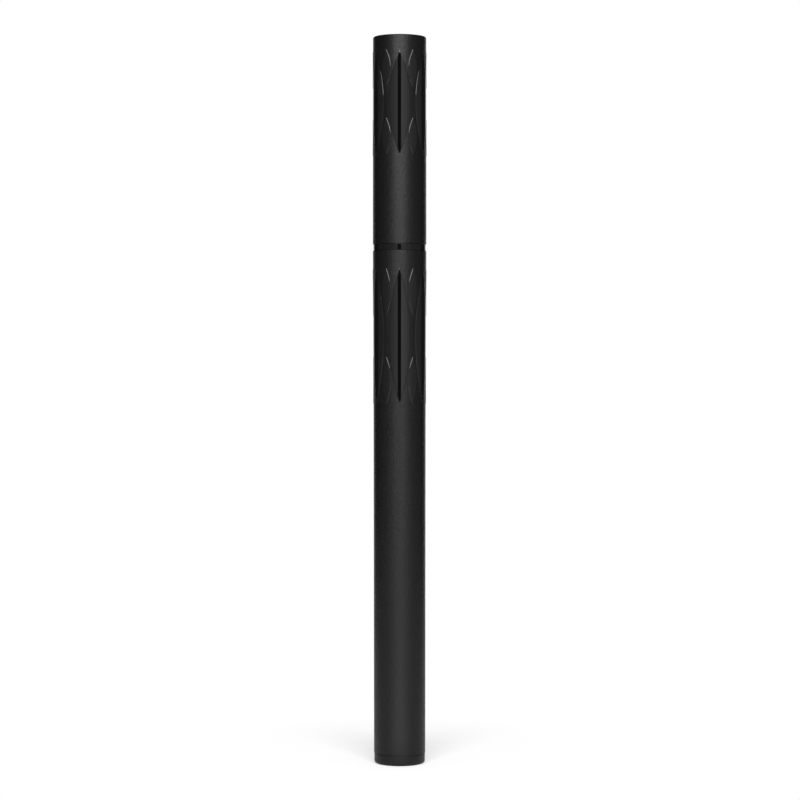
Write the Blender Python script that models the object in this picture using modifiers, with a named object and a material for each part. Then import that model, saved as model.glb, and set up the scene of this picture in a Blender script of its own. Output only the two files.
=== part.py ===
"""Liquid eyeliner pen: a slim barrel of ink, a finned collector, a felt tip and a push-on cap.

Lengths are in metres. The pen stands on its tail plug with the cap up: its axis is Z and its foot
is at zero. Each piece is drawn from its own lower end and then set at its height on the pen.
"""

import math

import bmesh
import bpy
from mathutils import Matrix, Vector

# Clearances
FIT_GAP = 0.00005  # around a piece that is pressed into another
SEAT_GAP = 0.00005  # between a piece and the face it rests on
SLIDE_GAP = 0.0001  # around what the cap slides over
SEAM_GAP = 0.00004  # the fine dark line between barrel and tail plug
CUT_OVERRUN = 0.0005  # how far a cutter reaches past what it cuts

# Barrel: one drafted tube, stepped inside where the ink tank ends
BARREL_LENGTH = 0.0939
BARREL_MOUTH_RADIUS = 0.0050
BARREL_FLARE_STEP = 0.00006  # radius lost along the slight flare below the mouth
BARREL_FLARE_LENGTH = 0.0095
BARREL_WAIST_TAPER = 0.00013  # radius lost between mouth and waist
BARREL_TAIL_TAPER = 0.0002  # radius lost between mouth and tail
BARREL_WAIST_HEIGHT = 0.0625
BARREL_WALL = 0.0009
BARREL_EDGE_FILLET = 0.00005
TANK_LENGTH = 0.0562
TANK_STEP = 0.0002

# Tail plug: the flange that shows, and the hollow skirt that closes the tank
TAIL_FLANGE_LENGTH = 0.0019
TAIL_FLANGE_STEP = 0.00006
TAIL_FOOT_FILLET = 0.00045
TAIL_SKIRT_LENGTH = 0.0120
TAIL_SKIRT_WALL = 0.00075
TAIL_FLOOR = 0.0022
TAIL_DISH_ANGLE = math.radians(20)

# Press ribs: the low rings that hold a pressed piece in its bore
RIB_HEIGHT = 0.00008
RIB_CREST = 0.0005
RIB_FLANK = 0.0003
RIB_SPACING = 0.0026
RIB_LEAD = 0.0016

# Mixing ball, loose in the ink
BALL_RADIUS = 0.0020

# Feed rod: the fibre wick that carries ink through the collector to the nib
FEED_RADIUS = 0.0008
FEED_GAP = 0.00005
FEED_REACH = 0.0005  # how far it stands into the ink

# Tank plug
PLUG_LENGTH = 0.0050
PLUG_SOCKET_DEPTH = 0.0015
NIPPLE_LENGTH = 0.0060
NIPPLE_WALL = 0.0007

# Collector
CORE_WALL = 0.0011
FIN_CLEARANCE = 0.0001
FIN_THICKNESS = 0.0005
FIN_SPACE = 0.0006
END_DISC_THICKNESS = 0.0010
INK_SLIT_WIDTH = 0.0003
INK_SLIT_BITE = 0.0004  # depth of the slit in the core
AIR_NOTCH_WIDTH = 0.0016
AIR_NOTCH_DEPTH = 0.0014

# Front section: pressed into the barrel, with the glossy band, the cap's spigot and the nose
SKIRT_LENGTH = 0.0095
SKIRT_WALL = 0.00062
STUB_LENGTH = 0.0034
BAND_LENGTH = 0.00115
BAND_STEP = 0.00009
BAND_FILLET = 0.00003
SPIGOT_LENGTH = 0.0090
SHOULDER_LENGTH = 0.0012
SHOULDER_FILLET = 0.0004
LAND_LENGTH = 0.0040
NOSE_LENGTH = 0.0088
NOSE_STEP = 0.0003
NOSE_TIP_WALL = 0.0005
NOSE_FILLET = 0.00025
AIR_CHAMBER_STEP = 0.00055
BEAD_HEIGHT_ON_SPIGOT = 0.0022
BEAD_CREST = 0.0003
BEAD_FLANK = 0.0004
BEAD_GAP = 0.00004

# Nib holder
HOLDER_TUBE_WALL = 0.00045
HOLDER_TUBE_LENGTH = 0.0100
HOLDER_BODY_STEP = 0.0006
HOLDER_BODY_LENGTH = 0.0055
HOLDER_REACH = 0.0016  # what shows in front of the nose
HOLDER_LEAD_IN = 0.0005
VENT_WIDTH = 0.0004
VENT_DEPTH = 0.0002

# Nib: a pointed stick of pressed fibre
NIB_RADIUS = 0.0009
NIB_SHANK_LENGTH = 0.0095
NIB_REACH = 0.0066
NIB_POINT_RADIUS = 0.00008
NIB_TAPER_POWER = 1.5

# Cap
CAP_TAPER = 0.000035
CAP_WALL = 0.00065
CAP_ROOF = 0.0011
CAP_TOP_CHAMFER = 0.00018
CAP_CEILING_FILLET = 0.0002
CAP_MOUTH_FILLET = 0.00004

# Cap liner: the sleeve that clicks over the spigot
LINER_WALL = 0.00045
LINER_RECESS = 0.0004
LINER_MOUTH_CHAMFER = 0.0002
GROOVE_DEPTH = 0.0001

# Inner cap: the thimble that keeps the nib moist
INNER_CAP_BORE_RADIUS = 0.0031
INNER_CAP_WALL = 0.00045
INNER_CAP_ROOF = 0.0008
INNER_CAP_FILLET = 0.0006
NIB_HEADROOM = 0.0055
CENTRING_RIB_WIDTH = 0.0006
CENTRING_RIB_GAP = 0.0001
CENTRING_RIB_BITE = 0.0002

# Counts and mesh settings
RIB_COUNT = 2
VENT_COUNT = 4
CENTRING_RIB_COUNT = 4
OUTER_STEPS = 36
INNER_STEPS = 24
NIB_TAPER_STEPS = 6
FILLET_STEPS = 2
FILLET_REACH_SHARE = 0.49  # of the shorter run beside a fillet
MERGE_DISTANCE = 0.000001
SHARP_ANGLE = math.radians(35)

# Radii that several pieces share
BARREL_BORE_RADIUS = BARREL_MOUTH_RADIUS - BARREL_WALL
TANK_RADIUS = BARREL_BORE_RADIUS - TANK_STEP
BARREL_TAIL_RADIUS = BARREL_MOUTH_RADIUS - BARREL_TAIL_TAPER
FEED_BORE_RADIUS = FEED_RADIUS + FEED_GAP
CORE_RADIUS = FEED_BORE_RADIUS + CORE_WALL
SKIRT_RADIUS = BARREL_BORE_RADIUS - FIT_GAP - RIB_HEIGHT
STUB_BORE_RADIUS = SKIRT_RADIUS - SKIRT_WALL
NIB_BORE_RADIUS = NIB_RADIUS + FIT_GAP
HOLDER_TUBE_RADIUS = NIB_BORE_RADIUS + HOLDER_TUBE_WALL
HOLDER_BODY_RADIUS = HOLDER_TUBE_RADIUS + HOLDER_BODY_STEP
CAP_TOP_RADIUS = BARREL_MOUTH_RADIUS - CAP_TAPER
CAP_BORE_RADIUS = CAP_TOP_RADIUS - CAP_WALL
LINER_RADIUS = CAP_BORE_RADIUS - FIT_GAP
LINER_BORE_RADIUS = LINER_RADIUS - LINER_WALL
INNER_CAP_RADIUS = INNER_CAP_BORE_RADIUS + INNER_CAP_WALL

# Heights on the pen
BARREL_FOOT = TAIL_FLANGE_LENGTH + SEAM_GAP
TANK_END = BARREL_FOOT + TANK_LENGTH
PLUG_FOOT = TANK_END + SEAT_GAP
COLLECTOR_FOOT = PLUG_FOOT + PLUG_LENGTH + SEAT_GAP
BAND_FOOT = BARREL_FOOT + BARREL_LENGTH + SEAT_GAP
SKIRT_FOOT = BAND_FOOT - SKIRT_LENGTH
BAND_TOP = BAND_FOOT + BAND_LENGTH
SPIGOT_TOP = BAND_TOP + SPIGOT_LENGTH
LAND_FOOT = SPIGOT_TOP + SHOULDER_LENGTH
LAND_TOP = LAND_FOOT + LAND_LENGTH
NOSE_TOP = LAND_TOP + NOSE_LENGTH
HOLDER_TOP = NOSE_TOP + HOLDER_REACH
HOLDER_SEAT = HOLDER_TOP - HOLDER_TUBE_LENGTH
HOLDER_FOOT = HOLDER_SEAT - HOLDER_BODY_LENGTH
NIB_FOOT = HOLDER_TOP - NIB_SHANK_LENGTH
NIB_TOP = HOLDER_TOP + NIB_REACH
FEED_FOOT = TANK_END - NIPPLE_LENGTH - FEED_REACH
CAP_MOUTH = BAND_TOP + SEAT_GAP
LINER_FOOT = CAP_MOUTH + LINER_RECESS
BEAD_HEIGHT = BAND_TOP + BEAD_HEIGHT_ON_SPIGOT
INNER_CAP_MOUTH = LAND_FOOT + SEAT_GAP
LINER_TOP = INNER_CAP_MOUTH - SEAT_GAP
INNER_CAP_CEILING = NIB_TOP + NIB_HEADROOM
INNER_CAP_TOP = INNER_CAP_CEILING + INNER_CAP_ROOF
CAP_CEILING = INNER_CAP_TOP + SEAT_GAP
CAP_TOP = CAP_CEILING + CAP_ROOF

# Finishes: colour, roughness and metallic value
SOFT_TOUCH = ((0.006, 0.006, 0.0064), 0.4, 0)
GLOSS = ((0.004, 0.004, 0.0042), 0.05, 0)
MOULDED = ((0.008, 0.008, 0.0084), 0.32, 0)
NATURAL_RESIN = ((0.55, 0.56, 0.57), 0.3, 0)
INKED_FIBRE = ((0.02, 0.019, 0.022), 0.85, 0)
POLISHED_STEEL = ((0.62, 0.62, 0.64), 0.15, 1)


def clear_scene():
    for obj in list(bpy.data.objects):
        bpy.data.objects.remove(obj)


def new_collection(name):
    collection = bpy.data.collections.new(name)
    bpy.context.scene.collection.children.link(collection)
    return collection


def paint(obj, finish):
    """Gives the piece a material of its own."""
    colour, roughness, metallic = finish
    material = bpy.data.materials.new(f"{obj.name}_finish")
    material.use_nodes = True
    shader = material.node_tree.nodes["Principled BSDF"]
    shader.inputs["Base Color"].default_value = (*colour, 1)
    shader.inputs["Roughness"].default_value = roughness
    shader.inputs["Metallic"].default_value = metallic
    obj.data.materials.clear()
    obj.data.materials.append(material)


def fillet_arc(corner, before, after, fillet):
    """The arc that rounds the corner between two straight runs, short enough to fit both."""
    half_angle = before.angle(after) / 2
    room = FILLET_REACH_SHARE * min(before.length, after.length)
    reach = min(fillet / math.tan(half_angle), room)
    bisector = (before.normalized() + after.normalized()).normalized()
    centre = corner + bisector * (reach / math.cos(half_angle))
    start = corner + before.normalized() * reach - centre
    end = corner + after.normalized() * reach - centre
    turns = [start.slerp(end, step / FILLET_STEPS) for step in range(FILLET_STEPS + 1)]
    return [centre + turn * start.length for turn in turns]


def profile_points(corners):
    """Points of a profile whose corners are (radius, height) or (radius, height, fillet)."""
    places = [Vector(corner[:2]) for corner in corners]
    points = []
    for i, corner in enumerate(corners):
        if len(corner) == 2:
            points.append(places[i])
            continue
        before = places[i - 1] - places[i]
        after = places[(i + 1) % len(places)] - places[i]
        points += fillet_arc(places[i], before, after, corner[2])
    return points


def spin_profile(name, corners, steps, closed=True):
    """A turned solid: the profile runs down the outside, then back up the bore or to the axis."""
    points = profile_points(corners)
    runs = [(i, i + 1) for i in range(len(points) - 1)]
    if closed:
        runs.append((len(points) - 1, 0))
    mesh = bpy.data.meshes.new(name)
    mesh.from_pydata([(radius, 0, height) for radius, height in points], runs, [])
    obj = bpy.data.objects.new(name, mesh)
    spin = obj.modifiers.new("Spin", "SCREW")
    spin.steps = spin.render_steps = steps
    spin.use_merge_vertices = True
    spin.merge_threshold = MERGE_DISTANCE
    return obj


def block(name, low, high, turn=0):
    """A box between two corners, turned about the axis."""
    mesh = bpy.data.meshes.new(name)
    work = bmesh.new()
    bmesh.ops.create_cube(work, size=1)
    size = Vector(high) - Vector(low)
    middle = (Vector(high) + Vector(low)) / 2
    scale = Matrix.Diagonal((*size, 1))
    work.transform(Matrix.Rotation(turn, 4, "Z") @ Matrix.Translation(middle) @ scale)
    work.to_mesh(mesh)
    work.free()
    return bpy.data.objects.new(name, mesh)


def combine(obj, tool, operation, cutters):
    """Cuts the tool from the piece, or joins it on, by a Boolean that stays on the piece."""
    tool.hide_render = True
    tool.display_type = "WIRE"
    tool.location.z = obj.location.z
    cutters.objects.link(tool)
    boolean = obj.modifiers.new(tool.name, "BOOLEAN")
    boolean.operation = operation
    boolean.object = tool


def quarter_turns(count):
    return [2 * math.pi * k / count for k in range(count)]


def press_ribs(radius, top):
    """Corners of the press ribs on an outside run of this radius, from the highest rib down."""
    corners = []
    for k in range(RIB_COUNT):
        rib_top = top - RIB_LEAD - k * RIB_SPACING
        crest_top = rib_top - RIB_FLANK
        crest_foot = crest_top - RIB_CREST
        corners += [
            (radius, rib_top),
            (radius + RIB_HEIGHT, crest_top),
            (radius + RIB_HEIGHT, crest_foot),
            (radius, crest_foot - RIB_FLANK),
        ]
    return corners


def make_tail_plug():
    """A flange with a rounded foot, and a ribbed cup whose dished floor centres the ball."""
    flange_radius = BARREL_TAIL_RADIUS - TAIL_FLANGE_STEP
    skirt_radius = TANK_RADIUS - FIT_GAP - RIB_HEIGHT
    cup_radius = skirt_radius - TAIL_SKIRT_WALL
    skirt_top = TAIL_FLANGE_LENGTH + TAIL_SKIRT_LENGTH
    dish_rim = TAIL_FLOOR + cup_radius * math.tan(TAIL_DISH_ANGLE)
    corners = [
        (0, TAIL_FLOOR),
        (cup_radius, dish_rim),
        (cup_radius, skirt_top),
        (skirt_radius, skirt_top, RIB_FLANK),
        *press_ribs(skirt_radius, skirt_top),
        (skirt_radius, TAIL_FLANGE_LENGTH),
        (flange_radius, TAIL_FLANGE_LENGTH, BARREL_EDGE_FILLET),
        (flange_radius, 0, TAIL_FOOT_FILLET),
        (0, 0),
    ]
    return spin_profile("tail_plug", corners, OUTER_STEPS, closed=False)


def make_barrel():
    """The drafted outer tube, with the ledge inside that stops the tank plug."""
    waist_radius = BARREL_MOUTH_RADIUS - BARREL_WAIST_TAPER
    corners = [
        (BARREL_MOUTH_RADIUS, BARREL_LENGTH, BARREL_EDGE_FILLET),
        (BARREL_MOUTH_RADIUS - BARREL_FLARE_STEP, BARREL_LENGTH - BARREL_FLARE_LENGTH),
        (waist_radius, BARREL_WAIST_HEIGHT),
        (BARREL_TAIL_RADIUS, 0, BARREL_EDGE_FILLET),
        (TANK_RADIUS, 0),
        (TANK_RADIUS, TANK_LENGTH),
        (BARREL_BORE_RADIUS, TANK_LENGTH),
        (BARREL_BORE_RADIUS, BARREL_LENGTH),
    ]
    return spin_profile("barrel", corners, OUTER_STEPS)


def make_mixing_ball():
    mesh = bpy.data.meshes.new("mixing_ball")
    work = bmesh.new()
    bmesh.ops.create_uvsphere(work, u_segments=INNER_STEPS, v_segments=INNER_STEPS // 2, radius=BALL_RADIUS)
    work.to_mesh(mesh)
    work.free()
    return bpy.data.objects.new("mixing_ball", mesh)


def make_tank_plug():
    """A ribbed stopper with a nipple that reaches into the ink and a socket for the collector."""
    body_radius = BARREL_BORE_RADIUS - FIT_GAP - RIB_HEIGHT
    nipple_radius = FEED_BORE_RADIUS + NIPPLE_WALL
    socket_radius = CORE_RADIUS + FIT_GAP
    rib_foot = (PLUG_LENGTH - RIB_CREST) / 2
    corners = [
        (body_radius, PLUG_LENGTH, RIB_FLANK),
        (body_radius, rib_foot + RIB_CREST + RIB_FLANK),
        (body_radius + RIB_HEIGHT, rib_foot + RIB_CREST),
        (body_radius + RIB_HEIGHT, rib_foot),
        (body_radius, rib_foot - RIB_FLANK),
        (body_radius, 0, RIB_FLANK),
        (nipple_radius, 0),
        (nipple_radius, -NIPPLE_LENGTH, RIB_FLANK),
        (FEED_BORE_RADIUS, -NIPPLE_LENGTH),
        (FEED_BORE_RADIUS, PLUG_LENGTH - PLUG_SOCKET_DEPTH),
        (socket_radius, PLUG_LENGTH - PLUG_SOCKET_DEPTH),
        (socket_radius, PLUG_LENGTH),
    ]
    return spin_profile("tank_plug", corners, OUTER_STEPS)


def make_feed_rod():
    """A plain round wick from the ink to the back of the nib."""
    length = NIB_FOOT - SEAT_GAP - FEED_FOOT
    corners = [(0, length), (FEED_RADIUS, length), (FEED_RADIUS, 0), (0, 0)]
    return spin_profile("feed_rod", corners, INNER_STEPS, closed=False)


def make_collector(cutters):
    """A comb of thin discs on a tube: a narrow slit feeds ink between them, a wide notch lets air past."""
    fin_radius = BARREL_BORE_RADIUS - FIN_CLEARANCE
    stub_radius = STUB_BORE_RADIUS - FIT_GAP
    front_disc_top = SKIRT_FOOT - SEAT_GAP - COLLECTOR_FOOT
    front_disc_foot = front_disc_top - END_DISC_THICKNESS
    comb = front_disc_foot - END_DISC_THICKNESS
    pitch = FIN_THICKNESS + FIN_SPACE
    fin_count = int((comb - FIN_SPACE) / pitch)
    lead = (comb - fin_count * pitch + FIN_SPACE) / 2
    top = front_disc_top + STUB_LENGTH
    corners = [
        (stub_radius, top, RIB_FLANK),
        (stub_radius, front_disc_top),
        (fin_radius, front_disc_top),
        (fin_radius, front_disc_foot),
        (CORE_RADIUS, front_disc_foot),
    ]
    for k in range(fin_count):
        fin_top = front_disc_foot - lead - k * pitch
        fin_foot = fin_top - FIN_THICKNESS
        corners += [
            (CORE_RADIUS, fin_top),
            (fin_radius, fin_top),
            (fin_radius, fin_foot),
            (CORE_RADIUS, fin_foot),
        ]
    corners += [
        (CORE_RADIUS, END_DISC_THICKNESS),
        (fin_radius, END_DISC_THICKNESS),
        (fin_radius, 0),
        (CORE_RADIUS, 0),
        (CORE_RADIUS, -PLUG_SOCKET_DEPTH + SEAT_GAP),
        (FEED_BORE_RADIUS, -PLUG_SOCKET_DEPTH + SEAT_GAP),
        (FEED_BORE_RADIUS, top),
    ]
    collector = spin_profile("collector", corners, INNER_STEPS)
    collector.location.z = COLLECTOR_FOOT
    cut_radius = fin_radius + CUT_OVERRUN
    slit = block(
        "ink_slit",
        (CORE_RADIUS - INK_SLIT_BITE, -INK_SLIT_WIDTH / 2, -CUT_OVERRUN),
        (cut_radius, INK_SLIT_WIDTH / 2, front_disc_top + CUT_OVERRUN),
    )
    notch = block(
        "air_notch",
        (-cut_radius, -AIR_NOTCH_WIDTH / 2, END_DISC_THICKNESS - CUT_OVERRUN),
        (AIR_NOTCH_DEPTH - fin_radius, AIR_NOTCH_WIDTH / 2, front_disc_top + CUT_OVERRUN),
    )
    combine(collector, slit, "DIFFERENCE", cutters)
    combine(collector, notch, "DIFFERENCE", cutters)
    return collector


def make_front_section():
    """Skirt, band, spigot with its snap bead, sealing land and tapered nose, in one moulding."""
    band_radius = BARREL_MOUTH_RADIUS - BAND_STEP
    spigot_radius = LINER_BORE_RADIUS - SLIDE_GAP
    bead_radius = LINER_BORE_RADIUS - BEAD_GAP
    land_radius = INNER_CAP_BORE_RADIUS - SLIDE_GAP
    nose_bore = HOLDER_TUBE_RADIUS + FIT_GAP
    socket_radius = HOLDER_BODY_RADIUS + FIT_GAP
    chamber_radius = socket_radius + AIR_CHAMBER_STEP
    band_top = SKIRT_LENGTH + BAND_LENGTH
    bead = BEAD_HEIGHT - SKIRT_FOOT
    socket_top = HOLDER_SEAT + SEAT_GAP - SKIRT_FOOT
    socket_foot = HOLDER_FOOT - HOLDER_LEAD_IN - SKIRT_FOOT
    stub_seat = STUB_LENGTH + SEAT_GAP
    corners = [
        (nose_bore + NOSE_TIP_WALL, NOSE_TOP - SKIRT_FOOT, NOSE_FILLET),
        (land_radius - NOSE_STEP, LAND_TOP - SKIRT_FOOT),
        (land_radius, LAND_TOP - SKIRT_FOOT, BAND_FILLET),
        (land_radius, LAND_FOOT - SKIRT_FOOT),
        (spigot_radius, SPIGOT_TOP - SKIRT_FOOT, SHOULDER_FILLET),
        (spigot_radius, bead + BEAD_CREST / 2 + BEAD_FLANK),
        (bead_radius, bead + BEAD_CREST / 2),
        (bead_radius, bead - BEAD_CREST / 2),
        (spigot_radius, bead - BEAD_CREST / 2 - BEAD_FLANK),
        (spigot_radius, band_top),
        (band_radius, band_top, BAND_FILLET),
        (band_radius, SKIRT_LENGTH, BAND_FILLET),
        (SKIRT_RADIUS, SKIRT_LENGTH),
        *press_ribs(SKIRT_RADIUS, SKIRT_LENGTH),
        (SKIRT_RADIUS, 0, RIB_FLANK),
        (STUB_BORE_RADIUS, 0),
        (STUB_BORE_RADIUS, stub_seat),
        (chamber_radius, stub_seat),
        (chamber_radius, socket_foot),
        (socket_radius, socket_foot),
        (socket_radius, socket_top),
        (nose_bore, socket_top),
        (nose_bore, NOSE_TOP - SKIRT_FOOT),
    ]
    return spin_profile("front_section", corners, OUTER_STEPS)


def make_nib_holder(cutters):
    """A stepped sleeve that grips the nib. Grooves along it let air back past the nib."""
    corners = [
        (HOLDER_TUBE_RADIUS, HOLDER_BODY_LENGTH + HOLDER_TUBE_LENGTH, VENT_DEPTH),
        (HOLDER_TUBE_RADIUS, HOLDER_BODY_LENGTH),
        (HOLDER_BODY_RADIUS, HOLDER_BODY_LENGTH),
        (HOLDER_BODY_RADIUS, 0, VENT_DEPTH),
        (FEED_BORE_RADIUS, 0),
        (FEED_BORE_RADIUS, NIB_FOOT - SEAT_GAP - HOLDER_FOOT),
        (NIB_BORE_RADIUS, NIB_FOOT - SEAT_GAP - HOLDER_FOOT),
        (NIB_BORE_RADIUS, HOLDER_BODY_LENGTH + HOLDER_TUBE_LENGTH),
    ]
    holder = spin_profile("nib_holder", corners, INNER_STEPS)
    holder.location.z = HOLDER_FOOT
    vent_top = HOLDER_BODY_LENGTH + HOLDER_TUBE_LENGTH - HOLDER_REACH / 2
    for k, turn in enumerate(quarter_turns(VENT_COUNT)):
        vent = block(
            f"vent_{k}",
            (HOLDER_TUBE_RADIUS - VENT_DEPTH, -VENT_WIDTH / 2, -CUT_OVERRUN),
            (HOLDER_BODY_RADIUS + CUT_OVERRUN, VENT_WIDTH / 2, vent_top),
            turn,
        )
        combine(holder, vent, "DIFFERENCE", cutters)
    return holder


def make_nib():
    """A straight shank that draws in to a fine rounded point, slowly at first and then faster."""
    length = NIB_SHANK_LENGTH + NIB_REACH
    corners = [(0, length)]
    for k in range(NIB_TAPER_STEPS, -1, -1):
        share = k / NIB_TAPER_STEPS
        radius = NIB_RADIUS - (NIB_RADIUS - NIB_POINT_RADIUS) * share**NIB_TAPER_POWER
        corners.append((radius, NIB_SHANK_LENGTH + (NIB_REACH - NIB_POINT_RADIUS) * share))
    corners += [(NIB_RADIUS, 0), (0, 0)]
    return spin_profile("nib", corners, INNER_STEPS, closed=False)


def make_cap_shell():
    """The outer cap: a thin drafted tube with a flat closed top, chamfered round its rim."""
    length = CAP_TOP - CAP_MOUTH
    ceiling = CAP_CEILING - CAP_MOUTH
    corners = [
        (0, length),
        (CAP_TOP_RADIUS - CAP_TOP_CHAMFER, length),
        (CAP_TOP_RADIUS, length - CAP_TOP_CHAMFER),
        (BARREL_MOUTH_RADIUS, 0, CAP_MOUTH_FILLET),
        (CAP_BORE_RADIUS, 0, CAP_MOUTH_FILLET),
        (CAP_BORE_RADIUS, ceiling, CAP_CEILING_FILLET),
        (0, ceiling),
    ]
    return spin_profile("cap_shell", corners, OUTER_STEPS, closed=False)


def make_cap_liner():
    """The sleeve inside the cap's mouth, with the groove that the snap bead drops into."""
    length = LINER_TOP - LINER_FOOT
    bead = BEAD_HEIGHT - LINER_FOOT
    groove_radius = LINER_BORE_RADIUS + GROOVE_DEPTH
    corners = [
        (LINER_RADIUS, length, LINER_MOUTH_CHAMFER),
        (LINER_RADIUS, 0),
        (LINER_BORE_RADIUS + LINER_MOUTH_CHAMFER, 0),
        (LINER_BORE_RADIUS, LINER_MOUTH_CHAMFER),
        (LINER_BORE_RADIUS, bead - BEAD_CREST / 2 - BEAD_FLANK),
        (groove_radius, bead - BEAD_CREST / 2),
        (groove_radius, bead + BEAD_CREST / 2),
        (LINER_BORE_RADIUS, bead + BEAD_CREST / 2 + BEAD_FLANK),
        (LINER_BORE_RADIUS, length),
    ]
    return spin_profile("cap_liner", corners, OUTER_STEPS)


def make_inner_cap(cutters):
    """A thimble over the nib, kept central in the shell by ribs along it."""
    length = INNER_CAP_TOP - INNER_CAP_MOUTH
    ceiling = INNER_CAP_CEILING - INNER_CAP_MOUTH
    corners = [
        (0, length),
        (INNER_CAP_RADIUS, length, INNER_CAP_FILLET),
        (INNER_CAP_RADIUS, 0),
        (INNER_CAP_BORE_RADIUS, 0),
        (INNER_CAP_BORE_RADIUS, ceiling, INNER_CAP_FILLET),
        (0, ceiling),
    ]
    inner_cap = spin_profile("inner_cap", corners, INNER_STEPS, closed=False)
    inner_cap.location.z = INNER_CAP_MOUTH
    for k, turn in enumerate(quarter_turns(CENTRING_RIB_COUNT)):
        rib = block(
            f"centring_rib_{k}",
            (INNER_CAP_RADIUS - CENTRING_RIB_BITE, -CENTRING_RIB_WIDTH / 2, CENTRING_RIB_GAP),
            (CAP_BORE_RADIUS - CENTRING_RIB_GAP, CENTRING_RIB_WIDTH / 2, ceiling),
            turn,
        )
        combine(inner_cap, rib, "UNION", cutters)
    return inner_cap


def smooth_mesh(obj):
    """Fixes the evaluated shape as the object's mesh, smooth on the round and sharp at the rims."""
    graph = bpy.context.evaluated_depsgraph_get()
    mesh = bpy.data.meshes.new_from_object(obj.evaluated_get(graph))
    mesh.name = obj.name
    mesh.shade_smooth()
    mesh.set_sharp_from_angle(angle=SHARP_ANGLE)
    obj.modifiers.clear()
    obj.data = mesh


def main():
    clear_scene()
    parts = new_collection("eyeliner_pen")
    cutters = new_collection("cutters")
    ball_height = TAIL_FLOOR + (BALL_RADIUS + SEAT_GAP) / math.cos(TAIL_DISH_ANGLE)
    pen_pieces = [
        (make_tail_plug(), 0, SOFT_TOUCH),
        (make_barrel(), BARREL_FOOT, SOFT_TOUCH),
        (make_tank_plug(), PLUG_FOOT, NATURAL_RESIN),
        (make_feed_rod(), FEED_FOOT, INKED_FIBRE),
        (make_collector(cutters), COLLECTOR_FOOT, NATURAL_RESIN),
        (make_front_section(), SKIRT_FOOT, GLOSS),
        (make_nib_holder(cutters), HOLDER_FOOT, MOULDED),
        (make_nib(), NIB_FOOT, INKED_FIBRE),
        (make_mixing_ball(), ball_height, POLISHED_STEEL),
    ]
    cap_pieces = [
        (make_cap_shell(), CAP_MOUTH, SOFT_TOUCH),
        (make_cap_liner(), LINER_FOOT, MOULDED),
        (make_inner_cap(cutters), INNER_CAP_MOUTH, MOULDED),
    ]
    for obj, height, _finish in pen_pieces + cap_pieces:
        obj.location.z = height
        parts.objects.link(obj)
    bpy.context.view_layer.update()
    for obj, _height, finish in pen_pieces + cap_pieces:
        smooth_mesh(obj)
        paint(obj, finish)

    # The cap's pieces hang from one empty at its seat, so that they come off the pen together
    cap_seat = bpy.data.objects.new("cap_seat", None)
    cap_seat.location.z = CAP_MOUTH
    parts.objects.link(cap_seat)
    for obj, height, _finish in cap_pieces:
        obj.parent = cap_seat
        obj.location.z = height - CAP_MOUTH


main()
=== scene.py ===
"""Looks of the liquid eyeliner pen: fine turned shells, their finishes and the gloss relief.

Lengths are in metres, in the frame's axes: +Z runs up the pen, +X to the right, and the camera looks
along +Y. Radiances are in units in which 1 renders as white.
"""

import math

import bmesh
import bpy
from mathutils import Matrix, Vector


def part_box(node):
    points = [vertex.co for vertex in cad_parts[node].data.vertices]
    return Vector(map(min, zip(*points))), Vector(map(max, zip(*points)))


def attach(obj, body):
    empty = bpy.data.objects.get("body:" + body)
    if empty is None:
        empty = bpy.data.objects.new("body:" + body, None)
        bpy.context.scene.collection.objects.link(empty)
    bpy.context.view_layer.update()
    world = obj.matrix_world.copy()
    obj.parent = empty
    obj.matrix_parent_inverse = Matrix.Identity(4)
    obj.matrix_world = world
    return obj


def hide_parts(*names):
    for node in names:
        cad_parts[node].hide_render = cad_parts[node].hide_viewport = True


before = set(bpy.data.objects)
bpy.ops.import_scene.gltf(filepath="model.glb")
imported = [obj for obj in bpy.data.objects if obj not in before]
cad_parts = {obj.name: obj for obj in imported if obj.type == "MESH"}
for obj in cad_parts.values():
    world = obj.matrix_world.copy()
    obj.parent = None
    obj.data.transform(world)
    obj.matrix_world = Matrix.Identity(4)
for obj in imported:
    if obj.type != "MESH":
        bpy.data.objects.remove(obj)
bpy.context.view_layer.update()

WHITE = (1, 1, 1, 1)

# Camera: a little above the pen's middle and tilted down to it, as the photograph's perspective shows
CAMERA_PLACE = (0.00007, -0.44, 0.076)
CAMERA_TILT = math.radians(1.041)
CAMERA_LENS_MM = 105.83
SENSOR_MM = 36
CLIP_DISTANCES = (0.01, 50)

# Lamps: a large softbox above the camera, and a small card that lies in front of the foot and faces up
KEY_PLACE = (0, -0.70, 0.50)
KEY_SIZE = (0.68, 0.52)
KEY_RADIANCE = 5.8
KEY_AIM = (0, 0, 0.07)
CARD_PLACE = (0, -0.085, 0.0005)
CARD_SIZE = (0.03, 0.14)
CARD_RADIANCE = 0.8
CARD_AIM = (0, -0.085, 1)

# Room: radiance by direction. Shares are parts of the direction's unit vector, and ROOM_RADIANCES starts
# from the share along Y, which is -1 towards the camera and 1 away from it.
ROOM_RADIANCES = (
    (-1.00, 0.72),
    (-0.85, 0.47),
    (-0.50, 0.28),
    (0.20, 0.17),
    (0.38, 0.035),
    (0.80, 0.035),
    (0.87, 1.00),
)
SIDE_SHARES = (-0.35, 0.35)
SIDE_FACTORS = (0.84, 1.18)
CAMERA_GAP_MIDDLE_SHARE = -0.02
CAMERA_GAP_SHARES = (0.115, 0.14)
CAMERA_GAP_TOP_SHARES = (0.20, 0.30)
CEILING_SHARES = (0.12, 0.34)
CEILING_RADIANCE = 0.05
OVERHEAD_SHARES = (0.60, 0.85)
OVERHEAD_RADIANCE = 0.35

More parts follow.
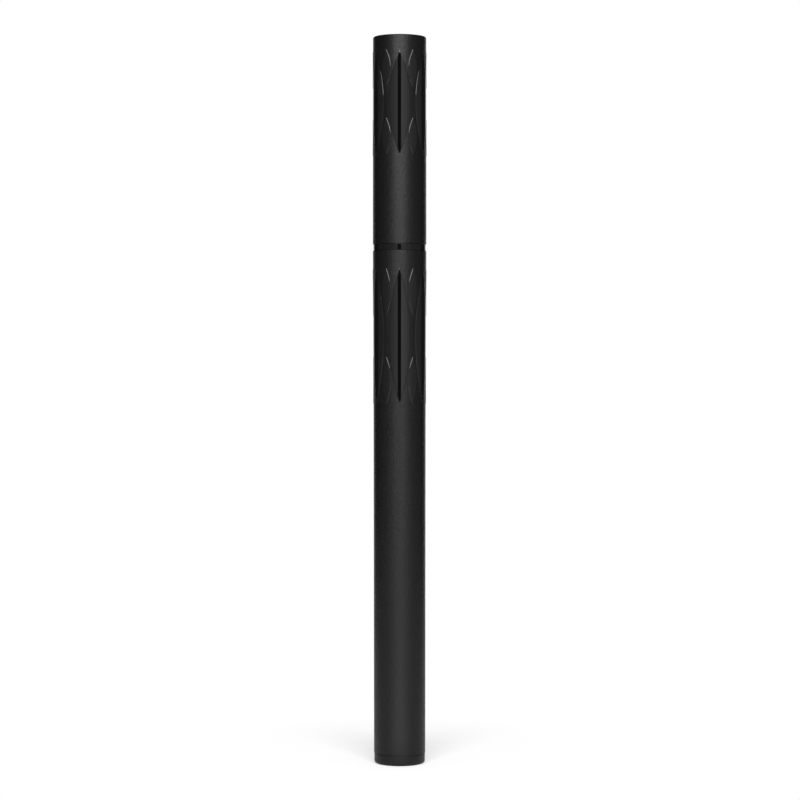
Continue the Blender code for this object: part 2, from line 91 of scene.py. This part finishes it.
# Floor: its glow is for the camera, and its mirror glow is for the pen's reflections
FLOOR_LOW = (-0.17, -0.62)
FLOOR_HIGH = (0.17, 0.24)
FLOOR_COLOUR = (0.86, 0.86, 0.86, 1)
FLOOR_GLOW = 0.44
FLOOR_MIRROR_GLOW = 0.08
FLOOR_SHADOW_REACH = (0.012, 0.06)

# Finishes: the range that holds nearly all of a noise, and how much rougher the satin is facing up
NOISE_RANGE = (0.3, 0.7)
SATIN_SPECULAR = 0.45
VARNISH_SPECULAR = 0.64
GLOSS_SPECULAR = 0.44
SATIN_END_SHARES = (0.8, 0.95)
SATIN_END_ROUGHNESS = 0.22

# Shells: steps round the axis, and the easing of corners in their sections
SHELL_STEPS = 128
BALL_STEPS = 64
SAME_POINT = 0.0000005
LEAST_TURN = math.radians(8)
HARD_TURN = math.radians(50)
CHAMFER_TURN = math.radians(40)
HARD_CORNER_REACH = 0.00003
SOFT_CORNER_REACH = 0.00025
CORNER_STEPS = 4
HOLD_DISTANCE = 0.00002
LONG_RUN = 4 * HOLD_DISTANCE
EDGE_WIDTH = 0.00004
EDGE_STEPS = 2
SHARP_ANGLE = math.radians(35)
LARGE_FACE_WEIGHT = 100

# Relief: leaves of gloss varnish standing a little proud of the satin. Each frieze starts a drop below
# its node's top. The leaves' edges sink into the surface, and their backs close behind it.
CAP_RELIEF = {"drop": 0.00269, "length": 0.0196, "small_length": 0.0070}
BARREL_RELIEF = {"drop": 0.00324, "length": 0.0254, "small_length": 0.0090}
TALL_LEAF_WIDTH = 0.0042
SMALL_LEAF_WIDTH = 0.0020
LEAST_HALF_WIDTH = 4 * SAME_POINT
RELIEF_HEIGHT = 0.00005
RELIEF_SHOULDER = 0.00014
RELIEF_SINK = 0.00002
RELIEF_BACK = 0.00006
LEAF_COUNT = 6
LEAF_ROWS = 48
LEAF_FACE_COLUMNS = 14
SHOULDER_SHARES = (0, 0.12, 0.3, 0.55, 0.8, 1)


def place_camera():
    data = bpy.data.cameras.new("camera")
    data.lens = CAMERA_LENS_MM
    data.sensor_width = SENSOR_MM
    data.clip_start, data.clip_end = CLIP_DISTANCES
    camera = bpy.data.objects.new("camera", data)
    camera.location = CAMERA_PLACE
    camera.rotation_euler = (math.pi / 2 - CAMERA_TILT, 0, 0)
    bpy.context.scene.collection.objects.link(camera)
    bpy.context.scene.camera = camera


def softbox(name, centre, aim, size, radiance):
    """A one-sided rectangular lamp whose face has the given radiance. The camera doesn't see it."""
    data = bpy.data.lights.new(name, "AREA")
    data.shape = "RECTANGLE"
    data.size, data.size_y = size
    data.energy = radiance * math.pi * size[0] * size[1]
    lamp = bpy.data.objects.new(name, data)
    lamp.location = centre
    lamp.rotation_euler = (Vector(aim) - Vector(centre)).to_track_quat("-Z", "Y").to_euler()
    lamp.visible_camera = False
    bpy.context.scene.collection.objects.link(lamp)


def calculate(tree, operation, *values):
    """A Math node. Each value is a socket or a number."""
    node = tree.nodes.new("ShaderNodeMath")
    node.operation = operation
    for socket, value in zip(node.inputs, values):
        if isinstance(value, bpy.types.NodeSocket):
            tree.links.new(value, socket)
        else:
            socket.default_value = value
    return node.outputs[0]


def map_range(tree, value, source, target, curve="SMOOTHSTEP"):
    """Maps a value from one (low, high) pair to another, and holds it within the second."""
    node = tree.nodes.new("ShaderNodeMapRange")
    node.interpolation_type = curve
    node.inputs["From Min"].default_value, node.inputs["From Max"].default_value = source
    node.inputs["To Min"].default_value, node.inputs["To Max"].default_value = target
    tree.links.new(value, node.inputs["Value"])
    return node.outputs["Result"]


def mix_shaders(tree, share, first, second):
    node = tree.nodes.new("ShaderNodeMixShader")
    for socket, source in zip(node.inputs, (share, first, second)):
        tree.links.new(source, socket)
    return node.outputs[0]


def room_by_depth(tree, along):
    """ROOM_RADIANCES as a ramp over the share along Y."""
    ramp = tree.nodes.new("ShaderNodeValToRGB")
    ramp.color_ramp.interpolation = "LINEAR"
    stops = ramp.color_ramp.elements
    while len(stops) < len(ROOM_RADIANCES):
        stops.new(1)
    for stop, (place, radiance) in zip(stops, ROOM_RADIANCES):
        stop.position = (place + 1) / 2
        stop.color = (radiance, radiance, radiance, 1)
    tree.links.new(calculate(tree, "MULTIPLY_ADD", along, 0.5, 0.5), ramp.inputs["Fac"])
    return ramp.outputs["Color"]


def clear_of_camera(tree, across, along, up):
    """0 in the dark gap between the panels where the camera stands, and 1 in all other directions."""
    aside = calculate(tree, "SUBTRACT", across, CAMERA_GAP_MIDDLE_SHARE)
    beside = map_range(tree, calculate(tree, "ABSOLUTE", aside), CAMERA_GAP_SHARES, (0, 1))
    above = map_range(tree, up, CAMERA_GAP_TOP_SHARES, (0, 1))
    behind = calculate(tree, "GREATER_THAN", along, 0)
    return calculate(tree, "MAXIMUM", calculate(tree, "MAXIMUM", beside, above), behind)


def room_radiance(tree):
    """The studio by direction: side panels, a white backdrop, a dim ceiling and a light overhead."""
    split = tree.nodes.new("ShaderNodeSeparateXYZ")
    tree.links.new(tree.nodes.new("ShaderNodeTexCoord").outputs["Generated"], split.inputs[0])
    across, along, up = split.outputs
    side = map_range(tree, across, SIDE_SHARES, SIDE_FACTORS)
    panels = calculate(tree, "MULTIPLY", room_by_depth(tree, along), side)
    room = calculate(tree, "MULTIPLY", panels, clear_of_camera(tree, across, along, up))
    ceiling = map_range(tree, calculate(tree, "ABSOLUTE", up), CEILING_SHARES, (0, 1))
    change = calculate(tree, "SUBTRACT", CEILING_RADIANCE, room)
    faded = calculate(tree, "MULTIPLY_ADD", change, ceiling, room)
    overhead = map_range(tree, up, OVERHEAD_SHARES, (0, OVERHEAD_RADIANCE))
    return calculate(tree, "ADD", faded, overhead)


def light_world():
    """Plain white for the camera, and the studio for all else."""
    world = bpy.data.worlds.new("studio")
    world.use_nodes = True
    bpy.context.scene.world = world
    tree = world.node_tree
    tree.nodes.clear()
    white = tree.nodes.new("ShaderNodeBackground")
    studio = tree.nodes.new("ShaderNodeBackground")
    white.inputs["Color"].default_value = WHITE
    studio.inputs["Color"].default_value = WHITE
    tree.links.new(room_radiance(tree), studio.inputs["Strength"])
    seen = tree.nodes.new("ShaderNodeLightPath").outputs["Is Camera Ray"]
    surface = mix_shaders(tree, seen, studio.outputs[0], white.outputs[0])
    tree.links.new(surface, tree.nodes.new("ShaderNodeOutputWorld").inputs["Surface"])


def new_finish(name):
    material = bpy.data.materials.new(name)
    material.use_nodes = True
    tree = material.node_tree
    return material, tree, tree.nodes["Principled BSDF"]


def floor_white():
    """Pale and matt. It takes shadows near the pen, and for the camera it is plain white further out."""
    material, tree, shader = new_finish("floor_white")
    shader.inputs["Base Color"].default_value = FLOOR_COLOUR
    shader.inputs["Roughness"].default_value = 1
    shader.inputs["Specular IOR Level"].default_value = 0
    shader.inputs["Emission Color"].default_value = WHITE
    path = tree.nodes.new("ShaderNodeLightPath")
    seen = path.outputs["Is Camera Ray"]
    mirrored = calculate(tree, "MULTIPLY", path.outputs["Is Glossy Ray"], FLOOR_MIRROR_GLOW)
    glow = calculate(tree, "MULTIPLY_ADD", seen, FLOOR_GLOW, mirrored)
    tree.links.new(glow, shader.inputs["Emission Strength"])
    reach = tree.nodes.new("ShaderNodeVectorMath")
    reach.operation = "LENGTH"
    tree.links.new(tree.nodes.new("ShaderNodeTexCoord").outputs["Object"], reach.inputs[0])
    far = map_range(tree, reach.outputs["Value"], FLOOR_SHADOW_REACH, (0, 1))
    white = tree.nodes.new("ShaderNodeEmission")
    seen_far = calculate(tree, "MULTIPLY", seen, far)
    surface = mix_shaders(tree, seen_far, shader.outputs[0], white.outputs[0])
    tree.links.new(surface, tree.nodes["Material Output"].inputs["Surface"])
    return material


def lay_floor():
    mesh = bpy.data.meshes.new("floor")
    work = bmesh.new()
    (left, front), (right, back) = FLOOR_LOW, FLOOR_HIGH
    corners = ((left, front), (right, front), (right, back), (left, back))
    work.faces.new([work.verts.new((*corner, 0)) for corner in corners])
    work.to_mesh(mesh)
    work.free()
    floor = bpy.data.objects.new("floor", mesh)
    bpy.context.scene.collection.objects.link(floor)
    mesh.materials.append(floor_white())


def noise(tree, scale, detail, roughness=0.55, stretch=(1, 1, 1)):
    """A noise texture in the piece's own coordinates. Scale is in features per metre."""
    coordinates = tree.nodes.new("ShaderNodeTexCoord")
    mapping = tree.nodes.new("ShaderNodeMapping")
    mapping.inputs["Scale"].default_value = stretch
    texture = tree.nodes.new("ShaderNodeTexNoise")
    texture.inputs["Scale"].default_value = scale
    texture.inputs["Detail"].default_value = detail
    texture.inputs["Roughness"].default_value = roughness
    tree.links.new(coordinates.outputs["Object"], mapping.inputs["Vector"])
    tree.links.new(mapping.outputs["Vector"], texture.inputs["Vector"])
    return texture.outputs["Fac"]


def spread(tree, value, low, high):
    """Maps a noise evenly to the range between low and high."""
    return map_range(tree, value, NOISE_RANGE, (low, high), curve="LINEAR")


def blend_colours(tree, value, first, second):
    node = tree.nodes.new("ShaderNodeMix")
    node.data_type = "RGBA"
    node.inputs["A"].default_value = (*first, 1)
    node.inputs["B"].default_value = (*second, 1)
    tree.links.new(value, node.inputs["Factor"])
    return node.outputs["Result"]


def bump(tree, value, distance, strength, normal=None):
    """A Bump node's normal, worked on top of another where one is given."""
    node = tree.nodes.new("ShaderNodeBump")
    if normal:
        tree.links.new(normal, node.inputs["Normal"])
    node.inputs["Strength"].default_value = strength
    node.inputs["Distance"].default_value = distance
    tree.links.new(value, node.inputs["Height"])
    return node.outputs["Normal"]


def feed(tree, shader, colour, roughness, normal=None):
    """Links a finish's colour, roughness and normal to its shader."""
    tree.links.new(colour, shader.inputs["Base Color"])
    tree.links.new(roughness, shader.inputs["Roughness"])
    if normal:
        tree.links.new(normal, shader.inputs["Normal"])


def satin_black():
    """Soft-touch plastic: finely grained, mottled in sheen and level, patchy, and duller on the end."""
    material, tree, shader = new_finish("satin_black")
    mottle = noise(tree, scale=2400, detail=2, roughness=0.6, stretch=(1, 1, 0.65))
    grain = noise(tree, scale=7000, detail=2)
    patches = noise(tree, scale=420, detail=3)
    colour = blend_colours(tree, mottle, first=(0.0010, 0.0010, 0.0011), second=(0.0040, 0.0040, 0.0042))
    sheen = spread(tree, mottle, low=0.35, high=0.46)
    patchy = calculate(tree, "ADD", sheen, spread(tree, patches, low=-0.025, high=0.025))
    facing = tree.nodes.new("ShaderNodeSeparateXYZ")
    tree.links.new(tree.nodes.new("ShaderNodeTexCoord").outputs["Normal"], facing.inputs[0])
    end = map_range(tree, facing.outputs["Z"], SATIN_END_SHARES, (0, SATIN_END_ROUGHNESS))
    level = bump(tree, mottle, distance=0.00004, strength=1)
    normal = bump(tree, grain, distance=0.000005, strength=0.4, normal=level)
    feed(tree, shader, colour, calculate(tree, "ADD", patchy, end), normal)
    shader.inputs["Specular IOR Level"].default_value = SATIN_SPECULAR
    return material


def gloss_black(name, specular_level):
    """Polished plastic or varnish, with a trace of orange peel."""
    material, tree, shader = new_finish(name)
    peel = noise(tree, scale=500, detail=2)
    haze = noise(tree, scale=1400, detail=4)
    colour = blend_colours(tree, haze, first=(0.0034, 0.0034, 0.0035), second=(0.0042, 0.0042, 0.0044))
    normal = bump(tree, peel, distance=0.000002, strength=0.12)
    feed(tree, shader, colour, spread(tree, haze, low=0.03, high=0.06), normal)
    shader.inputs["Specular IOR Level"].default_value = specular_level
    return material


def moulded_black():
    """Plain moulded plastic, smoother than the satin, with faint draw marks along the pen."""
    material, tree, shader = new_finish("moulded_black")
    draw = noise(tree, scale=2600, detail=3, stretch=(1, 1, 0.06))
    cloud = noise(tree, scale=700, detail=3)
    colour = blend_colours(tree, cloud, first=(0.0065, 0.0065, 0.0068), second=(0.0095, 0.0095, 0.0100))
    normal = bump(tree, draw, distance=0.000003, strength=0.25)
    feed(tree, shader, colour, spread(tree, draw, low=0.26, high=0.38), normal)
    return material


def natural_resin():
    """Unpigmented plastic, stained by ink in clouds."""
    material, tree, shader = new_finish("natural_resin")
    stain = spread(tree, noise(tree, scale=420, detail=5, roughness=0.65), low=0, high=1)
    grain = noise(tree, scale=5000, detail=2)
    colour = blend_colours(tree, stain, first=(0.58, 0.58, 0.57), second=(0.10, 0.10, 0.11))
    normal = bump(tree, grain, distance=0.000002, strength=0.2)
    feed(tree, shader, colour, spread(tree, grain, low=0.24, high=0.34), normal)
    shader.inputs["Subsurface Weight"].default_value = 0.25
    shader.inputs["Subsurface Radius"].default_value = (0.0006, 0.0006, 0.0006)
    return material


def inked_fibre():
    """Fibres pressed along the pen, wet with ink."""
    material, tree, shader = new_finish("inked_fibre")
    strands = noise(tree, scale=11000, detail=4, stretch=(1, 1, 0.07))
    wet = noise(tree, scale=1500, detail=3)
    shade = spread(tree, strands, low=0, high=1)
    colour = blend_colours(tree, shade, first=(0.0040, 0.0038, 0.0042), second=(0.024, 0.023, 0.025))
    normal = bump(tree, strands, distance=0.00002, strength=0.6)
    feed(tree, shader, colour, spread(tree, wet, low=0.42, high=0.75), normal)
    shader.inputs["Sheen Weight"].default_value = 0.15
    return material


def ball_steel():
    """Polished steel with the fine scratches of shaking."""
    material, tree, shader = new_finish("ball_steel")
    scratches = noise(tree, scale=6000, detail=5, stretch=(1, 0.2, 0.6))
    colour = blend_colours(tree, scratches, first=(0.60, 0.60, 0.62), second=(0.68, 0.68, 0.69))
    feed(tree, shader, colour, spread(tree, scratches, low=0.12, high=0.26))
    shader.inputs["Metallic"].default_value = 1
    return material


def section_of(node):
    """A turned node's section: (radius, height) points in order, from end to end or right round."""
    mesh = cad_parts[node].data
    points = []
    for vertex in mesh.vertices:
        place = Vector((vertex.co.x, vertex.co.z))
        on_plane = vertex.co.x > -SAME_POINT and abs(vertex.co.y) < SAME_POINT
        if on_plane and all((place - other).length > SAME_POINT for other in points):
            points.append(place)

    def ring_of(vertex):
        place = Vector((vertex.co.xy.length, vertex.co.z))
        return min(range(len(points)), key=lambda i: (points[i] - place).length)

    rings = [ring_of(vertex) for vertex in mesh.vertices]
    links = [set() for _ in points]
    for edge in mesh.edges:
        first, second = (rings[i] for i in edge.vertices)
        if first != second:
            links[first].add(second)
            links[second].add(first)
    ends = [i for i, linked in enumerate(links) if len(linked) == 1]
    order = [ends[0] if ends else 0]
    while len(order) < len(points):
        onward = [i for i in links[order[-1]] if i not in order]
        order.append(onward[0])
    section = [points[i] for i in order]
    if not ends:
        return section + [section[0]]
    first, last = (Vector((0, section[i].y)) for i in (0, -1))
    head = [first] if section[0].x > SAME_POINT else []
    tail = [last] if section[-1].x > SAME_POINT else []
    return head + section + tail


def eased(section, hard_turn):
    """The section with its corners rounded: widely at stepped fillets, finely at turns that are hard."""
    closed = (section[0] - section[-1]).length < SAME_POINT
    points = section[:-1] if closed else section
    curve = []
    for i, corner in enumerate(points):
        before = points[i - 1] - corner
        after = points[(i + 1) % len(points)] - corner
        turn = math.pi - before.angle(after)
        if turn < LEAST_TURN or (not closed and i in (0, len(points) - 1)):
            curve.append(corner)
            continue
        most = HARD_CORNER_REACH if turn > hard_turn else SOFT_CORNER_REACH
        reach = min(most, before.length / 2, after.length / 2)
        start = corner + before.normalized() * reach
        end = corner + after.normalized() * reach
        for k in range(CORNER_STEPS + 1):
            share = k / CORNER_STEPS
            curve.append(start.lerp(corner, share).lerp(corner.lerp(end, share), share))
    return curve + [curve[0]] if closed else curve


def held(curve):
    """The curve with points added near the ends of long runs, so that shading bends only at corners."""
    points = [curve[0]]
    for start, end in zip(curve, curve[1:]):
        run = end - start
        if run.length > LONG_RUN:
            inset = run.normalized() * HOLD_DISTANCE
            points += [start + inset, end - inset]
        if run.length > SAME_POINT:
            points.append(end)
    return points


def new_piece(name, work):
    """A smooth mesh object from a bmesh, with its faces pointing out."""
    bmesh.ops.remove_doubles(work, verts=work.verts, dist=SAME_POINT)
    bmesh.ops.recalc_face_normals(work, faces=work.faces)
    mesh = bpy.data.meshes.new(name)
    work.to_mesh(mesh)
    work.free()
    mesh.shade_smooth()
    piece = bpy.data.objects.new(name, mesh)
    bpy.context.scene.collection.objects.link(piece)
    return piece


def sweep(work, curve, steps):
    """Carries (radius, height) points round the axis, in an order that is the same each run."""
    angles = [2 * math.pi * k / steps for k in range(steps)]
    rings = []
    for radius, height in curve:
        if radius < SAME_POINT:
            rings.append([work.verts.new((0, 0, height))] * steps)
        else:
            spots = [(radius * math.cos(angle), radius * math.sin(angle), height) for angle in angles]
            rings.append([work.verts.new(spot) for spot in spots])
    for lower, upper in zip(rings, rings[1:]):
        for k in range(steps):
            j = (k + 1) % steps
            corners = (lower[k], lower[j], upper[j], upper[k])
            work.faces.new(tuple(dict.fromkeys(corners)))


def turned_shell(name, node, hard_turn=HARD_TURN):
    """The node's section, with eased corners, turned in fine steps."""
    work = bmesh.new()
    sweep(work, held(eased(section_of(node), hard_turn)), SHELL_STEPS)
    return new_piece(name, work)


def chamfered_shell(name, node):
    """A turned shell that keeps both corners of its chamfer crisp."""
    return turned_shell(name, node, hard_turn=CHAMFER_TURN)


def cut_shell(name, node):
    """A copy of a node that has ribs or slots, welded, with fine radii on its hard edges."""
    work = bmesh.new()
    work.from_mesh(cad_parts[node].data)
    piece = new_piece(name, work)
    piece.data.set_sharp_from_angle(angle=SHARP_ANGLE)
    bevel = piece.modifiers.new("soft_edges", "BEVEL")
    bevel.width = EDGE_WIDTH
    bevel.segments = EDGE_STEPS
    bevel.limit_method = "ANGLE"
    bevel.angle_limit = SHARP_ANGLE
    normals = piece.modifiers.new("even_normals", "WEIGHTED_NORMAL")
    normals.weight = LARGE_FACE_WEIGHT
    return piece


def fine_ball(name, node):
    """A sphere that fills the node's box, turned from a half circle."""
    low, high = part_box(node)
    radius = (high.z - low.z) / 2
    rows = BALL_STEPS // 2
    angles = [math.pi * k / rows for k in range(rows + 1)]
    curve = [(radius * math.sin(angle), -radius * math.cos(angle)) for angle in angles]
    work = bmesh.new()
    sweep(work, curve, BALL_STEPS)
    bmesh.ops.translate(work, verts=work.verts, vec=(low + high) / 2)
    return new_piece(name, work)


def outer_radius(section, height):
    """The section's greatest radius at a height."""
    found = []
    for low, high in zip(section, section[1:]):
        if low.y > high.y:
            low, high = high, low
        if low.y <= height <= high.y and high.y > low.y:
            found.append(low.x + (high.x - low.x) * (height - low.y) / (high.y - low.y))
    return max(found)


def smooth_step(share):
    return share * share * (3 - 2 * share)


def leaf_columns(half_width):
    """(offset across, height over the surface) pairs from one edge of a leaf to the other."""
    shoulder = min(RELIEF_SHOULDER, half_width)
    rise = RELIEF_SINK + RELIEF_HEIGHT * shoulder / RELIEF_SHOULDER
    edge = [
        (shoulder * share - half_width, rise * smooth_step(share) - RELIEF_SINK)
        for share in SHOULDER_SHARES
    ]
    face = half_width - shoulder
    middle = [
        (face * (2 * k / LEAF_FACE_COLUMNS - 1), rise - RELIEF_SINK) for k in range(1, LEAF_FACE_COLUMNS)
    ]
    return edge + middle + [(-across, height) for across, height in reversed(edge)]


def add_leaf(work, section, angle, foot, length, width):
    """One leaf on the round: pointed at both ends, widest in the middle, closed behind the surface."""
    rows = []
    for k in range(LEAF_ROWS + 1):
        share = 2 * k / LEAF_ROWS - 1
        z = foot + length * k / LEAF_ROWS
        half_width = width / 2 * (1 - share * share)
        radius = outer_radius(section, z)
        front = []
        back = []
        for across, height in leaf_columns(max(half_width, LEAST_HALF_WIDTH)):
            turn = angle + across / radius
            spot = Vector((math.sin(turn), -math.cos(turn), 0))
            front.append(work.verts.new(spot * (radius + height) + Vector((0, 0, z))))
            back.append(work.verts.new(spot * (radius - RELIEF_BACK) + Vector((0, 0, z))))
        rows.append(front + back[::-1])
    for lower, upper in zip(rows, rows[1:]):
        for i in range(len(lower)):
            j = (i + 1) % len(lower)
            work.faces.new((lower[i], lower[j], upper[j], upper[i]))
    work.faces.new(rows[0])
    work.faces.new(rows[-1])


def leaf_relief(name, node, drop, length, small_length):
    """A frieze of tall leaves, with a small leaf between each pair at the head and at the foot."""
    section = section_of(node)
    top = max(point.y for point in section) - drop
    foot = top - length
    work = bmesh.new()
    pitch = 2 * math.pi / LEAF_COUNT
    for k in range(LEAF_COUNT):
        add_leaf(work, section, k * pitch, foot, length, TALL_LEAF_WIDTH)
        between = (k + 0.5) * pitch
        add_leaf(work, section, between, foot, small_length, SMALL_LEAF_WIDTH)
        add_leaf(work, section, between, top - small_length, small_length, SMALL_LEAF_WIDTH)
    return new_piece(name, work)


def dress(piece, node, body, finish):
    """Gives the piece its finish and body. Where a node is named, that node is hidden and the piece
    stands for it.
    """
    piece.data.materials.append(finish)
    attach(piece, body)
    if node:
        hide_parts(node)


def dress_pen():
    satin = satin_black()
    varnish = gloss_black("varnish_black", VARNISH_SPECULAR)
    gloss = gloss_black("gloss_black", GLOSS_SPECULAR)
    moulded = moulded_black()
    resin = natural_resin()
    fibre = inked_fibre()
    steel = ball_steel()
    redrawn = (
        (turned_shell, "tail_plug_shell", "tail_plug", "pen", "soft_touch_black", satin),
        (turned_shell, "barrel_shell", "barrel", "pen", "soft_touch_black", satin),
        (turned_shell, "tank_plug_body", "tank_plug", "pen", "natural_resin", resin),
        (turned_shell, "feed_rod_wick", "feed_rod", "pen", "inked_fibre", fibre),
        (cut_shell, "collector_comb", "collector", "pen", "natural_resin", resin),
        (turned_shell, "front_section_shell", "front_section", "pen", "gloss_black", gloss),
        (cut_shell, "nib_holder_sleeve", "nib_holder", "pen", "moulded_black", moulded),
        (turned_shell, "nib_tip", "nib", "pen", "inked_fibre", fibre),
        (fine_ball, "steel_ball", "mixing_ball", "ball", "ball_steel", steel),
        (chamfered_shell, "cap_shell_wall", "cap_shell", "cap", "soft_touch_black", satin),
        (turned_shell, "cap_liner_sleeve", "cap_liner", "cap", "moulded_black", moulded),
        (cut_shell, "inner_cap_thimble", "inner_cap", "cap", "moulded_black", moulded),
    )
    for shape, name, node, body, slot, finish in redrawn:
        dress(shape(name, node), node, body, finish)
    dress(leaf_relief("cap_relief", "cap_shell", **CAP_RELIEF), None, "cap", varnish)
    dress(leaf_relief("barrel_relief", "barrel", **BARREL_RELIEF), None, "pen", varnish)


place_camera()
light_world()
lay_floor()
softbox("key", KEY_PLACE, KEY_AIM, KEY_SIZE, KEY_RADIANCE)
softbox("card", CARD_PLACE, CARD_AIM, CARD_SIZE, CARD_RADIANCE)
dress_pen()
bpy.context.scene.view_settings.view_transform = "Standard"
